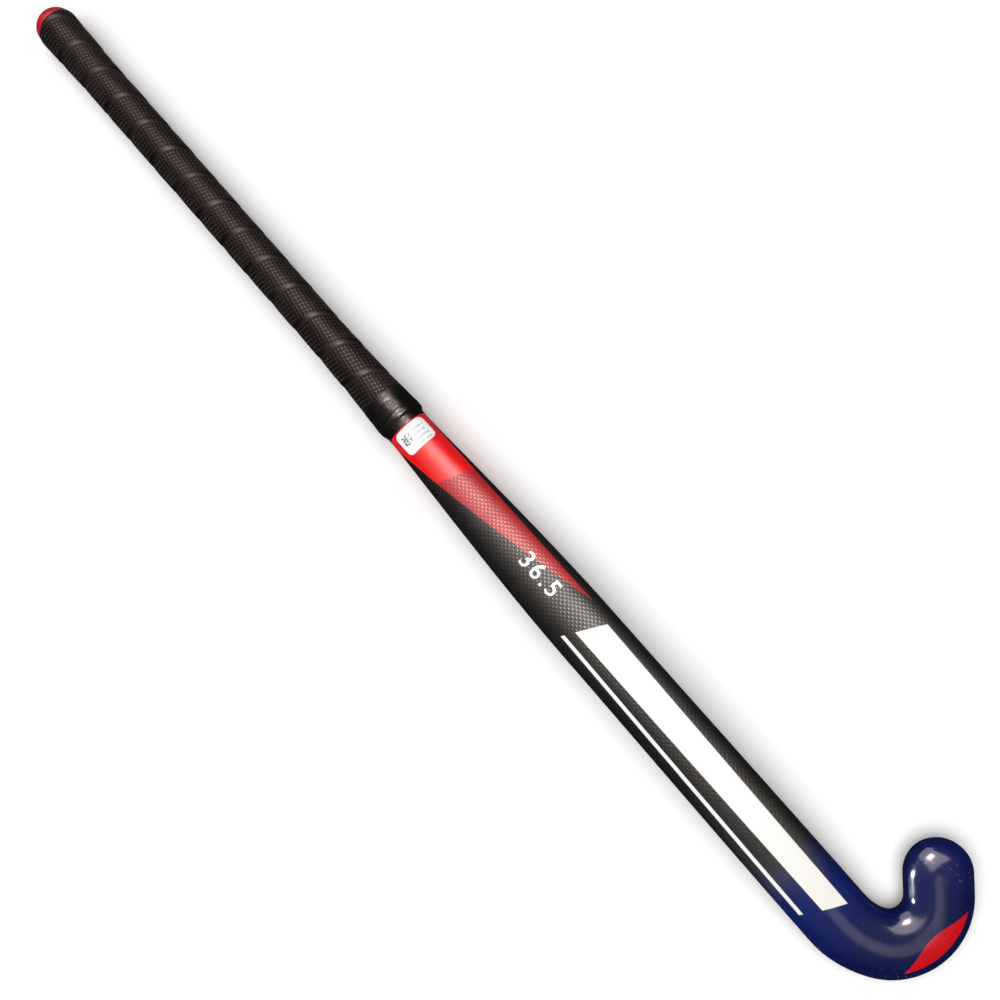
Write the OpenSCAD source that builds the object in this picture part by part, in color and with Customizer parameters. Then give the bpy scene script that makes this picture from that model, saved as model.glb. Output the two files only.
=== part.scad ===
// Field hockey stick, adult size, lying face down with its rounded back upwards.
// +X runs from the butt to the head, +Y towards the toe, +Z up.
// The origin is below the middle of the stick, on the surface that it lies on.

/* [Overall] */
// Length from the butt's dome to the bottom of the head
stick_length = 927; // [889:0.5:978]
// Sides of every cross-section, always even
section_sides = 32; // [16:4:40]

/* [Handle] */
// Width of the bare handle, edge to edge
handle_width = 25; // [23:0.1:28]
// Depth of the bare handle, face to back
handle_depth = 27; // [24:0.1:30]
// Extra width and depth of the flare at the butt
butt_flare = 2.6; // [0:0.1:4]
// Length of the butt's dome
dome_length = 12; // [8:0.5:14]
// Place where the handle begins to widen into the shaft
taper_start = 322; // [300:1:345]
// Place where the shaft reaches its working width
taper_end = 615; // [580:1:640]

/* [Shaft] */
// Width of the shaft below the taper
shaft_width = 45.2; // [42:0.1:46]
// Height of the rounded back above the widest line of the shaft
shaft_back = 12.6; // [10:0.1:14]
// Depth of the flat face below the widest line of the shaft
shaft_face = 9.4; // [7:0.1:11]

/* [Head] */
// Width of the shaft where it meets the heel
heel_width = 47.2; // [46:0.1:49]
// Width of the band that forms the hook
hook_width = 45.6; // [43:0.1:47]
// Radius of the hook's middle line around the crook
crook_radius = 31.6; // [30:0.1:36]
// Radius of the easier bend between shaft and crook
heel_radius = 57; // [50:0.1:70]
// Angle turned by the easier bend
heel_turn = 33; // [20:1:40]
// Angle turned around the crook
crook_turn = 108; // [90:1:115]
// Straight run between crook and toe
toe_run = 14; // [8:0.5:20]
// Height of the rounded back of the head
head_back = 11; // [9:0.1:13]
// Depth of the flat face of the head
head_face = 8.8; // [7:0.1:10]

/* [Bow] */
// Length at the head that stays straight
bow_low_end = 70; // [66:1:90]
// Length of the bowed stretch
bow_stretch = 226; // [180:1:300]
// Angle between handle and head
bow_turn = 10.3; // [6:0.1:10.6]

/* [Laminate] */
// Wall of the outer shell
shell_wall = 2.2; // [1.6:0.1:3]
// Wall of each inner tube
tube_wall = 1.2; // [0.8:0.1:1.6]
// Place where the inner tubes start, behind the butt plug
tube_start = 70; // [70:1:100]

/* [Grip] */
// Thickness of the wound grip
grip_thickness = 2; // [1.4:0.1:2.4]
// Angle by which the grip laps over the dome's rim
grip_lap = 8; // [4:1:12]
// Place where the finishing tape begins
finish_start = 398; // [380:1:410]
// Place where the grip ends, below the finishing tape
grip_end = 418; // [414:1:420]
// Place where the finishing tape ends
finish_end = 421; // [421:0.5:423]
// Thickness of the finishing tape
finish_thickness = 0.5; // [0.3:0.1:0.6]
// Place where the collar tape ends
collar_end = 425; // [424:0.5:425.5]
// Thickness of the collar tape
collar_thickness = 0.4; // [0.3:0.1:0.6]

/* [Label] */
// Place where the label begins, just past the collar tape
label_start = 426; // [426:0.5:430]
// Length of the label along the stick
label_length = 18.4; // [14:0.5:26]
// Width of the label around the back
label_width = 23.6; // [16:0.2:28]
// Radius of the label's corners
label_corner = 3.6; // [1:0.1:5]
// Thickness of the label
label_thickness = 0.3; // [0.2:0.05:0.4]

/* [Hidden] */

// Gap left below the label, which is glued to a curved surface.
label_gap = 0.15;
// Spans across the label.
label_spans = 10;
// Length of the end cap's spigot.
spigot_length = 14;
// Thickness of the grip's rolled edge on the dome, and of the finishing tape's turned-down end.
grip_edge = 0.9;
finish_edge = 0.9;
// Exponents of the oval handle, of the rounded back and of the face's edges.
oval_power = 2;
back_power = 2.25;
face_power = 3;
// Share of the face's full depth that is left when the flat is cut.
flat_share = 0.75;

// The hook: centre of the easier bend, centre of the crook, and lengths along the middle line.
crook_x = stick_length - crook_radius - hook_width / 2;
bend_step = heel_radius - crook_radius;
hook_start = crook_x - bend_step * sin(heel_turn);
crook_y = heel_radius - bend_step * cos(heel_turn);
toe_radius = hook_width / 2;
heel_arc = heel_radius * heel_turn * PI / 180;
crook_arc = crook_radius * crook_turn * PI / 180;
crook_start = hook_start + heel_arc;
run_start = crook_start + crook_arc;
toe_start = run_start + toe_run;
hook_turn = heel_turn + crook_turn;

// The bow: an arc between the straight handle and the straight head.
bow_end = stick_length - bow_low_end;
bow_start = bow_end - bow_stretch;
bow_radius = bow_stretch / (bow_turn * PI / 180);

// Stations along the middle line, closer together where the shape changes.
dome_angles = [88, 74, 60, 46, 32, 20, grip_lap];
spigot_end = dome_length + spigot_length;
spigot_stations = [dome_length, dome_length + spigot_length / 3, spigot_end];
plug_stations = [spigot_end, 38, 54, tube_start];
handle_stations = [110, 170, 230, 290, taper_start, 350, 375, finish_start, grip_end, finish_end];
taper_stations = [collar_end, 446, 470, 495, 520, 545, 570, 595, taper_end];
shaft_stations = [for (i = [1:8]) taper_end + (hook_start - taper_end) * i / 8];
heel_stations = [for (i = [1:5]) hook_start + heel_arc * i / 5];
crook_stations = [for (i = [1:15]) crook_start + crook_arc * i / 15];
run_stations = [run_start + toe_run / 2, toe_start];
cap_angles = [15, 30, 45, 60, 72, 82];
cap_stations = [for (a = cap_angles) toe_start + toe_radius * sin(a)];
tube_stations = concat([tube_start], handle_stations, taper_stations, shaft_stations);
hook_stations = concat([hook_start], heel_stations, crook_stations, run_stations, cap_stations);
shell_stations = [
    for (list = [spigot_stations, plug_stations, tube_stations, hook_stations])
        for (i = [(list == spigot_stations ? 0 : 1):len(list) - 1]) list[i]
];

function ease(u) = let (v = min(1, max(0, u))) v * v * (3 - 2 * v);
function mix(a, b, u) = a + (b - a) * u;
function signed_power(v, power) = sign(v) * pow(abs(v), power);
function numbers(points, i) = [for (p = points) p[i]];
function lowest(points) =
    let (low = min(numbers(points, 2)))
    [for (p = points) if (p[2] == low) p][0];

// How far the section has gone from oval handle to flat-faced shaft, and from shaft to head.
function taper(s) = ease((s - taper_start) / (taper_end - taper_start));
function heading(s) = ease((s - taper_end) / (hook_start - taper_end));
function flare(s) = butt_flare / 2 * (1 - ease((s - dome_length) / 60));
function half_width(s) =
    s < hook_start
        ? flare(s) + mix(handle_width, mix(shaft_width, heel_width, heading(s)), taper(s)) / 2
        : mix(heel_width, hook_width, ease((s - hook_start) / heel_arc)) / 2;
function back_height(s) =
    flare(s) + mix(handle_depth / 2, mix(shaft_back, head_back, heading(s)), taper(s));
function face_depth(s) =
    flare(s) + mix(handle_depth / 2, mix(shaft_face, head_face, heading(s)), taper(s));

// Size of a section: half width, back height, flat depth, uncut depth of the face, and taper.
function size_at(s) = [
    half_width(s), back_height(s), face_depth(s),
    face_depth(s) / mix(1, flat_share, taper(s)), taper(s)
];
function grown(size, by) = [for (i = [0:4]) size[i] + (i < 4 ? by : 0)];

// Share of full size that a rounded end has left at part e of its length.
function share_left(e, power) = pow(1 - pow(min(1, e), power), 1 / power);
function end_size(size, e) = [
    size[0] * share_left(e, 2),
    size[1] * share_left(e, back_power),
    min(size[2], size[3] * share_left(e, face_power)),
    size[3] * share_left(e, face_power),
    size[4]
];

// One closed outline: from the toe-side edge over the back, the heel-side edge and the face.
function outline(size) = [
    for (i = [0:section_sides - 1])
        let (
            a = 360 * i / section_sides,
            back = 2 / mix(oval_power, back_power, size[4]),
            face = 2 / mix(oval_power, face_power, size[4])
        )
        sin(a) >= 0
            ? [size[0] * signed_power(cos(a), back), size[1] * signed_power(sin(a), back)]
            : [size[0] * signed_power(cos(a), face),
               max(-size[2], size[3] * signed_power(sin(a), face))]
];

// Middle line seen from above, with the handle along X: place and heading, before the bow.
function line_at(s) =
    s < hook_start ? [s, 0, 0]
    : s < crook_start ?
        let (a = (s - hook_start) / heel_arc * heel_turn)
        [hook_start + heel_radius * sin(a), heel_radius * (1 - cos(a)), a]
    :
        let (
            a = min(1, (s - crook_start) / crook_arc) * crook_turn + heel_turn,
            run = max(0, s - run_start)
        )
        [crook_x + crook_radius * sin(a) + run * cos(a),
         crook_y - crook_radius * cos(a) + run * sin(a), a];

// Bends a point of the straight stick to the bow.
function bowed(p) =
    let (
        a = -bow_turn * min(1, max(0, (p[0] - bow_start) / bow_stretch)),
        flat = max(0, p[0] - bow_end),
        x = min(p[0], bow_start) - bow_radius * sin(a) + flat * cos(a),
        z = bow_radius * (cos(a) - 1) + flat * sin(a)
    )
    [x - p[2] * sin(a), p[1], z + p[2] * cos(a)];
function ring_at(s, points) =
    let (line = line_at(s))
    [for (p = points)
        bowed([line[0] - p[0] * sin(line[2]), line[1] + p[0] * cos(line[2]), p[1]])];

// A ring round the stick, grown outwards or inwards from the shell's outer surface.
function body_ring(s, by) =
    let (
        e = max(0, s - toe_start) / toe_radius,
        place = s > toe_start ? toe_start + e * (toe_radius + by) : s
    )
    ring_at(place, outline(end_size(grown(size_at(s), by), e)));
function dome_ring(angle, by) =
    let (size = size_at(dome_length))
    ring_at(
        dome_length * (1 - sin(angle)),
        outline([for (i = [0:4]) i < 4 ? size[i] * cos(angle) + by : size[i]])
    );
function rings(stations, by) = [for (s = stations) body_ring(s, by)];

shell_rings = rings(shell_stations, 0);
cavity_rings = rings(shell_stations, -shell_wall);
grip_rings = concat(
    [dome_ring(grip_lap, grip_edge)],
    rings([for (s = shell_stations) if (s <= finish_start) s], grip_thickness),
    rings([finish_start, grip_end], grip_thickness - finish_thickness)
);
dome_rings = [for (a = dome_angles) dome_ring(a, 0)];

// The stick is tilted until the butt and the head's lower edge both touch the surface.
head_low = lowest([for (ring = rings(hook_stations, 0)) each ring]);
butt_low = lowest(body_ring(dome_length, grip_thickness));
rest_tilt = atan2(butt_low[2] - head_low[2], head_low[0] - butt_low[0]);
function tilted(p) = [
    p[0] * cos(rest_tilt) - p[2] * sin(rest_tilt), p[1],
    p[0] * sin(rest_tilt) + p[2] * cos(rest_tilt)
];

// The origin is below the middle of the whole stick.
outermost = [for (list = [shell_rings, grip_rings, dome_rings]) for (ring = list) each ring];
reach = [for (p = outermost) tilted(p)];
origin = [
    (min(numbers(reach, 0)) + max(numbers(reach, 0))) / 2,
    (min(numbers(reach, 1)) + max(numbers(reach, 1))) / 2,
    min(numbers(reach, 2))
];

// Faces between rings of n points, and across the ends.
function wall_faces(count, n, first) = [
    for (k = [0:count - 2], i = [0:n - 1])
        let (j = (i + 1) % n, a = first + k * n, b = a + n)
        [a + i, b + i, b + j, a + j]
];
function turned(faces) = [for (f = faces) [for (i = [len(f) - 1:-1:0]) f[i]]];
function end_face(first, n) = [[for (i = [0:n - 1]) first + i]];
function ring_face(a, b, n) = [for (i = [0:n - 1]) let (j = (i + 1) % n) [a + i, a + j, b + j, b + i]];

module laid_down(ring_list, faces) {
    points = [for (ring = ring_list) for (p = ring) tilted(p) - origin];
    polyhedron(points, faces, convexity = 6);
}

// A closed solid through a list of rings.
module solid(outer) {
    n = len(outer[0]);
    last = (len(outer) - 1) * n;
    laid_down(outer, concat(wall_faces(len(outer), n, 0), end_face(0, n), turned(end_face(last, n))));
}

// A hollow solid, open at its first ring and closed at its last.
module cup(outer, inner) {
    n = len(outer[0]);
    last = (len(outer) - 1) * n;
    inside = len(outer) * n;
    inside_last = inside + (len(inner) - 1) * n;
    laid_down(concat(outer, inner), concat(
        wall_faces(len(outer), n, 0), turned(end_face(last, n)),
        turned(wall_faces(len(inner), n, inside)), end_face(inside_last, n),
        ring_face(0, inside, n)
    ));
}

// A sleeve, open at both ends.
module sleeve(outer, inner) {
    n = len(outer[0]);
    last = (len(outer) - 1) * n;
    inside = len(outer) * n;
    inside_last = inside + (len(inner) - 1) * n;
    laid_down(concat(outer, inner), concat(
        wall_faces(len(outer), n, 0), turned(wall_faces(len(inner), n, inside)),
        ring_face(0, inside, n), turned(ring_face(last, inside_last, n))
    ));
}

// The painted laminate, one piece from the butt to the toe.
module outer_shell() {
    color("#17181d")
        cup(shell_rings, cavity_rings);
}

// Half of the cavity's outline on the side of one edge, and the same drawn in by a wall.
function half_outline(s, edge) =
    let (
        points = outline(grown(size_at(s), -shell_wall)),
        quarter = section_sides / 4
    )
    [
        for (i = [0:quarter]) points[(edge + i) % section_sides],
        for (i = [-quarter:-1]) points[(edge + i + section_sides) % section_sides]
    ];
function drawn_in(points, wall) =
    let (
        low = [min(numbers(points, 0)), min(numbers(points, 1))],
        high = [max(numbers(points, 0)), max(numbers(points, 1))],
        middle = (low + high) / 2,
        shrink = [for (i = [0:1]) 1 - 2 * wall / (high[i] - low[i])]
    )
    [for (p = points) [for (i = [0:1]) middle[i] + (p[i] - middle[i]) * shrink[i]]];

// A braided tube that fills one side of the shaft and is closed at the head.
module inner_tube(edge) {
    bore_end = len(tube_stations) - 2;
    outer = [for (s = tube_stations) ring_at(s, half_outline(s, edge))];
    bore = [
        for (i = [0:bore_end])
            let (s = tube_stations[i]) ring_at(s, drawn_in(half_outline(s, edge), tube_wall))
    ];
    cup(outer, bore);
}

module heel_side_tube() {
    color("#3a3d40")
        inner_tube(section_sides / 2);
}

module toe_side_tube() {
    color("#4a4d50")
        inner_tube(0);
}

// The foam core that fills the hook.
module head_core() {
    color("#e6dcc0")
        solid(rings(hook_stations, -shell_wall));
}

// The foam plug between the end cap and the inner tubes.
module butt_plug() {
    color("#d8cfae")
        solid(rings(plug_stations, -shell_wall));
}

// The domed rubber cap, with a spigot that fits inside the shell.
module end_cap() {
    color("#c4122c")
        solid(concat(dome_rings, rings([dome_length], 0), rings(spigot_stations, -shell_wall)));
}

// The soft grip, wound round the handle and lapped over the dome's rim.
module grip_tape() {
    under = rings([for (s = shell_stations) if (s <= grip_end) s], 0);
    color("#221d1d")
        sleeve(grip_rings, concat([dome_ring(grip_lap, 0)], under));
}

// The finishing tape that holds the grip's end down.
module finishing_tape() {
    step = grip_thickness - finish_thickness;
    color("#2b2727")
        sleeve(
            concat(rings([finish_start, grip_end], grip_thickness), rings([finish_end], finish_edge)),
            concat(rings([finish_start, grip_end], step), rings([grip_end, finish_end], 0))
        );
}

// The thin trim band between the finishing tape and the painted shaft.
module collar_tape() {
    ends = [finish_end, collar_end];
    color("#1c1a1a")
        sleeve(rings(ends, collar_thickness), rings(ends, 0));
}

// The back's height above the widest line at a distance from the middle of the stick.
function back_at(s, y) =
    let (power = mix(oval_power, back_power, taper(s)))
    back_height(s) * pow(1 - pow(abs(y) / half_width(s), power), 1 / power);

// How far the label's rounded corners cut in at a distance along it.
function corner_cut(d) =
    let (e = max(0, label_corner - min(d, label_length - d)))
    label_corner - sqrt(label_corner * label_corner - e * e);

// The size label, bent over the back where the painted shaft begins.
module size_label() {
    corner = [for (a = [0:18:90]) label_corner * (1 - cos(a))];
    along = concat(corner, [for (i = [len(corner) - 1:-1:0]) label_length - corner[i]]);
    strips = [
        for (d = along)
            let (
                s = label_start + d,
                half = label_width / 2 - corner_cut(d),
                across = [for (j = [0:label_spans]) half * (1 - 2 * j / label_spans)],
                low = [for (y = across) [y, back_at(s, y) + label_gap]],
                top = [for (p = low) [p[0], p[1] + label_thickness]]
            )
            ring_at(s, concat(top, [for (j = [label_spans:-1:0]) low[j]]))
    ];
    color("white")
        solid(strips);
}

outer_shell();
heel_side_tube();
toe_side_tube();
head_core();
butt_plug();
end_cap();
grip_tape();
finishing_tape();
collar_tape();
size_label();
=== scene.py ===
import math

import bmesh
import bpy
import numpy as np
from mathutils import Matrix, Vector

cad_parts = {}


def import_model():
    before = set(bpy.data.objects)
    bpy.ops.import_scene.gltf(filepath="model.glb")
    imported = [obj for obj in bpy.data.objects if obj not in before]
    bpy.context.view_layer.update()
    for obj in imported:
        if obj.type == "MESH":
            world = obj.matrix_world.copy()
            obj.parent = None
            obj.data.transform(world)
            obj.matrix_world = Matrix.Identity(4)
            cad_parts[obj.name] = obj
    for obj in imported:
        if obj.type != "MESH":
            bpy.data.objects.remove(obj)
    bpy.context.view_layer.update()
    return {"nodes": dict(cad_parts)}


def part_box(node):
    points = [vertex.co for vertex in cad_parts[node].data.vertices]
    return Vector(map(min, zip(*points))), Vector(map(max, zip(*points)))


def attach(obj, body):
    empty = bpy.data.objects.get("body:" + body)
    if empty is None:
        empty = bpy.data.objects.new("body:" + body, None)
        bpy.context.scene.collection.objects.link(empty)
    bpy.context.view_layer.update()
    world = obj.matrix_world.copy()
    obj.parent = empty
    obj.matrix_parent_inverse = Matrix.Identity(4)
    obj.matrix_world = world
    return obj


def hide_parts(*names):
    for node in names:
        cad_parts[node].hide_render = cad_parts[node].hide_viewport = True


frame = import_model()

# The field hockey stick lies face down with its rounded back upwards. All lengths are in metres.
# The skin repeats the part's own shape rules at a finer step: s runs along the middle line from the butt.
STICK_LENGTH = 0.927
HANDLE_WIDTH, HANDLE_DEPTH = 0.025, 0.027
BUTT_FLARE, FLARE_LENGTH, DOME_LENGTH = 0.0026, 0.060, 0.012
TAPER_START, TAPER_END = 0.322, 0.615
SHAFT_WIDTH, SHAFT_BACK, SHAFT_FACE = 0.0452, 0.0126, 0.0094
HEEL_WIDTH, HOOK_WIDTH, HEAD_BACK, HEAD_FACE = 0.0472, 0.0456, 0.011, 0.0088
CROOK_RADIUS, HEEL_RADIUS, TOE_RUN = 0.0316, 0.057, 0.014
HEEL_TURN, CROOK_TURN, BOW_TURN = math.radians(33), math.radians(108), math.radians(10.3)
BOW_LOW_END, BOW_STRETCH = 0.070, 0.226
SHELL_WALL, GRIP_THICKNESS = 0.0022, 0.002
FINISH_START, FINISH_END, COLLAR_END = 0.398, 0.421, 0.425
FINISH_EDGE, COLLAR_THICKNESS = 0.0009, 0.0004
LABEL_START, LABEL_LENGTH, LABEL_WIDTH, LABEL_CORNER = 0.4260, 0.0184, 0.0236, 0.0036
OVAL_POWER, BACK_POWER, FACE_POWER, FLAT_SHARE = 2, 2.25, 3, 0.75

# The hook and the bow, worked out from the sizes above.
CROOK_X = STICK_LENGTH - CROOK_RADIUS - HOOK_WIDTH / 2
BEND_STEP = HEEL_RADIUS - CROOK_RADIUS
HOOK_START = CROOK_X - BEND_STEP * math.sin(HEEL_TURN)
CROOK_Y = HEEL_RADIUS - BEND_STEP * math.cos(HEEL_TURN)
TOE_RADIUS = HOOK_WIDTH / 2
CROOK_START = HOOK_START + HEEL_RADIUS * HEEL_TURN
RUN_START = CROOK_START + CROOK_RADIUS * CROOK_TURN
TOE_START = RUN_START + TOE_RUN
BOW_END = STICK_LENGTH - BOW_LOW_END
BOW_START = BOW_END - BOW_STRETCH
BOW_RADIUS = BOW_STRETCH / BOW_TURN

# The cap: how proud of the laminate its dome stands, its skirt under the grip, and its spigot.
CAP_PROUD, SKIRT_START, SKIRT_END = 0.0013, 0.0135, 0.0180
SPIGOT_LENGTH, SPIGOT_CHAMFER, SPIGOT_GAP = 0.014, 0.001, 0.0001

# The wound grip: its turns, the plain margins of the tape, and the steps where one turn meets the next.
GRIP_START, GRIP_PITCH, GRIP_FIRST_SEAM, GRIP_COVERED = 0.0114, 0.0279, 0.0435, 0.004
# SEAM_START and SEAM_END bound the painted shadow along each step of the tape.
GRIP_TUCK, GRIP_MARGIN, GRIP_FADE, SEAM_START, SEAM_END = 0.0016, 0.0030, 0.0003, 0.0007, 0.0022
TAPE_EDGE, TAPE_STEP, GRIP_SINK = 0.040, 0.00020, 0.0001
GRIP_LUMPS, LUMP_WAVE, SLOW_WAVE = 0.00010, 171, 47
START_SLANT, START_ROLL, START_HEIGHT = 0.0026, 0.0012, 0.35

# Its dimples: their spacing round and along, the slant of their rows, and a dimple's shape in a 1 x 1 cell.
DIMPLE_ROUND, DIMPLE_ALONG, DIMPLE_SLANT = 0.00240, 0.00310, 0.16
DIMPLE_FLOOR, DIMPLE_RIM, DIMPLE_DEPTH = 0.22, 0.44, 0.00040

# The finishing tape: its turns, its turned-down end and its rolled start.
FINISH_TURN, FINISH_SLANT, FINISH_STEP, FINISH_PROUD = 0.0078, 0.0012, 0.00030, 0.00025
FINISH_WRINKLE, WRINKLE_WAVE, FINISH_DROP, FINISH_DROP_SLANT = 0.00006, 2600, 0.0040, 0.0016
FINISH_LEAD, FINISH_ROLL = 0.0006, 0.0007
# A crease goes round it: its place, its height, half its width, and its slant, waves and phase.
RIDGE = (0.0185, 0.00042, 0.0009, 0.0030, 1, 0.7)
GROOVE = (0.0065, 0.00030, 0.0008, 0.0012, 2, 0.0)

# The label's lie and thickness, its printed rows and its block of squares.
LABEL_ASKEW, LABEL_ASIDE = math.radians(1.5), 0.0005
LABEL_LOW, LABEL_TOP, LABEL_SOFT = 0.00004, 0.00016, 0.00010
PRINT_PITCH, PRINT_STEP, BLOCK_STEP, BLOCK_EDGE = 0.0036, 0.0010, 0.00075, -0.0021
PRINT_HEEL, PRINT_TOE, PRINT_SOFT, BLOCK_SOFT, BLOCK_SEED = 0.0002, 0.0098, 0.0001, 0.00005, 7.0

# The size mark: the stick's length in inches.
MARK_TEXT, MARK_SIZE, MARK_START, MARK_MIDDLE = "36.5", 0.0168, 0.5470, 0.0024
MARK_SPACING, MARK_FATTEN, MARK_THICKNESS, MARK_GAP, MARK_EDGE = 1.22, 0.00012, 0.00003, 0.00002, 0.0012

# How finely the pieces are built.
SKIN_SIDES, DOME_SIDES, TAPE_SIDES = 112, 96, 144
GRIP_SIDES, GRIP_ROWS, GRIP_STATIONS, GRIP_INNER_RINGS = 140, 44, 240, 24
PROFILE_STEPS, LABEL_ROWS, HOOK_RINGS, TOE_RINGS, DOME_RINGS = 480, 44, 110, 34, 40
COVERED_STEP, SHOWN_STEP, LINING_STEP = 0.006, 0.0016, 0.020

# The weave's repeat, where bare laminate gives way to paint, and the inner tubes' braid.
WEAVE_ALONG, WEAVE_ROUND, BARE_FADE, BARE_END, BRAID_WAVE = 0.0040, 0.0036, 0.770, 0.828, 2600

# The decoration, in places on the straight stick: x from the butt, y from the middle line towards the toe.
PAINT_EDGE, STRIPE_EDGE = 0.00025, 0.00022
FLASH_START, FLASH_END, FLASH_BEND, TIP_FADE = 0.425, 0.600, 0.30, 0.0005
FLASH_HEEL, FLASH_SWEEP, FLASH_TOE, FLASH_SPREAD = -0.0168, 0.0340, 0.0152, 0.0018
SOLID_END, SOLID_FADE, SOLID_SLANT = 0.4738, 0.0008, -0.38
NARROWING_START, NARROWING_END, STRIPE_DRIFT = 0.605, 0.850, 0.0028
STRIPE_START, STRIPE_END, STRIPE_SLANT = 0.6105, 0.8465, -0.50
BROAD_HEEL, BROAD_NARROWING, BROAD_TOE = -0.0058, 0.0045, 0.0140
PIN_HEEL, PIN_TOE = -0.0148, -0.0124
CREAM_START, CREAM_END = 0.740, 0.870
# NECK_START and NECK_END: where the painted light on the lower neck fades into plain navy.
NAVY_START, NAVY_END, NAVY_SLANT, NECK_START, NECK_END = 0.792, 0.846, -0.10, 0.820, 0.885
CRESCENT_RADIUS, CRESCENT_WIDTH, CRESCENT_INSET = 0.0478, 0.0150, 0.0014
CRESCENT_MIDDLE, CRESCENT_REACH = 0.05, 0.66
EDGE_HIGH, EDGE_LOW = -0.0012, -0.0022

# The room: floor, sky and sun. A gloss box only shows in reflections and has a place, a target, a size,
# a power in watts and a tint.
FLOOR_REACH, WALL_LIGHT, CEILING_LIGHT, HORIZON = 30.0, 0.03, 0.40, 0.30
SUN_STRENGTH, SUN_SPREAD, SUN_LEAN = 2.95, math.radians(70), (math.radians(8), math.radians(-6), 0)
LAMP_SPREAD = math.radians(14)
GLOSS_BOXES = {
    "grip_sheen": ((-1.70, 0.50, 1.9), (-1.70, 0.0, 0.0), (2.1, 1.9), 46.0, (1.0, 0.88, 0.85)),
    "sheen_box": ((0.20, 0.46, 1.9), (0.20, 0.0, 0.0), (1.7, 1.2), 28.7, (1.0, 0.93, 0.88)),
    "neck_panel": ((1.74, -0.04, 1.9), (0.42, 0.0, 0.0), (0.34, 0.62), 0.90, (1.0, 0.86, 0.84)),
    "middle_box": ((0.06, 0.42, 1.9), (0.10, 0.0, 0.0), (0.50, 0.46), 27.0, (1.0, 0.89, 0.80)),
    "head_lamp": ((0.02, -1.08, 0.86), (0.53, 0.01, 0.02), (0.14, 0.20), 1.3, (1.0, 1.0, 1.0)),
}

# The camera: close above the lower shaft, leaning back towards the butt.
CAMERA_PLACE, CAMERA_TARGET = Vector((0.1530, -0.0246, 0.8353)), Vector((0.04285, -0.01925, 0.03))
CAMERA_SLOPE, CAMERA_LENS = math.radians(48.62), 42.71


def ease(u):
    u = np.clip(u, 0, 1)
    return u * u * (3 - 2 * u)


def mix(a, b, u):
    return a + (b - a) * u


def taper(s):
    return ease((s - TAPER_START) / (TAPER_END - TAPER_START))


def heading(s):
    return ease((s - TAPER_END) / (HOOK_START - TAPER_END))


def size_at(s):
    """Half width, back height, flat depth, uncut depth and taper of the section at s, one row each."""
    s = np.asarray(s, float)
    flare = BUTT_FLARE / 2 * (1 - ease((s - DOME_LENGTH) / FLARE_LENGTH))
    shaft = flare + mix(HANDLE_WIDTH, mix(SHAFT_WIDTH, HEEL_WIDTH, heading(s)), taper(s)) / 2
    hook = mix(HEEL_WIDTH, HOOK_WIDTH, ease((s - HOOK_START) / (CROOK_START - HOOK_START))) / 2
    back = flare + mix(HANDLE_DEPTH / 2, mix(SHAFT_BACK, HEAD_BACK, heading(s)), taper(s))
    face = flare + mix(HANDLE_DEPTH / 2, mix(SHAFT_FACE, HEAD_FACE, heading(s)), taper(s))
    width = np.where(s < HOOK_START, shaft, hook)
    return np.stack([width, back, face, face / mix(1, FLAT_SHARE, taper(s)), taper(s)], -1)


def rounded_end(size, e):
    """The section that a rounded end has left at part e of its length."""
    def left(power):
        return (1 - np.clip(e, 0, 1) ** power) ** (1 / power)
    out = size.copy()
    out[:, 0] *= left(2)
    out[:, 1] *= left(BACK_POWER)
    out[:, 3] *= left(FACE_POWER)
    out[:, 2] = np.minimum(size[:, 2], out[:, 3])
    return out


def half_profile(size, sign, steps, count):
    """Half of each section, evenly spaced: the back for sign 1, the face for sign -1."""
    a = np.linspace(0, math.pi, steps)[None, :]
    power = 2 / mix(OVAL_POWER, BACK_POWER if sign > 0 else FACE_POWER, size[:, 4:5])
    y = size[:, 0:1] * np.sign(np.cos(a)) * np.abs(np.cos(a)) ** power
    rise = np.abs(np.sin(a)) ** power
    if sign > 0:
        z = size[:, 1:2] * rise
    else:
        y = -y
        z = np.maximum(-size[:, 2:3], -size[:, 3:4] * rise)
    length = np.concatenate(
        [np.zeros((len(y), 1)), np.cumsum(np.hypot(np.diff(y), np.diff(z)), axis=1)], axis=1)
    out = np.empty((len(y), count + 1, 3))
    for i in range(len(y)):
        want = np.linspace(0, length[i, -1], count + 1)
        out[i] = np.stack([np.interp(want, length[i], y[i]), np.interp(want, length[i], z[i]), want], -1)
    return out


def profiles(size, sides):
    """Closed sections from the toe-side edge over the back: points (y, z), and the girth from the top."""
    back = half_profile(size, 1, PROFILE_STEPS, sides // 2)
    face = half_profile(size, -1, PROFILE_STEPS, sides // 2)
    half_back = back[:, -1:, 2] / 2
    points = np.concatenate([back[:, :-1, :2], face[:, :-1, :2]], axis=1)
    girth = np.concatenate([half_back - back[:, :-1, 2], -half_back - face[:, :, 2]], axis=1)
    return points, girth


def line_at(s):
    """Middle line seen from above: x, y and heading."""
    s = np.asarray(s, float)
    heel = np.clip((s - HOOK_START) / HEEL_RADIUS, 0, HEEL_TURN)
    crook = np.clip((s - CROOK_START) / CROOK_RADIUS, 0, CROOK_TURN)
    run = np.maximum(0, s - RUN_START)
    a = heel + crook
    x = np.minimum(s, HOOK_START) + HEEL_RADIUS * np.sin(heel)
    y = HEEL_RADIUS * (1 - np.cos(heel))
    x = x + CROOK_RADIUS * (np.sin(a) - np.sin(heel)) + run * np.cos(a)
    y = y + CROOK_RADIUS * (np.cos(heel) - np.cos(a)) + run * np.sin(a)
    return x, y, a


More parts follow.
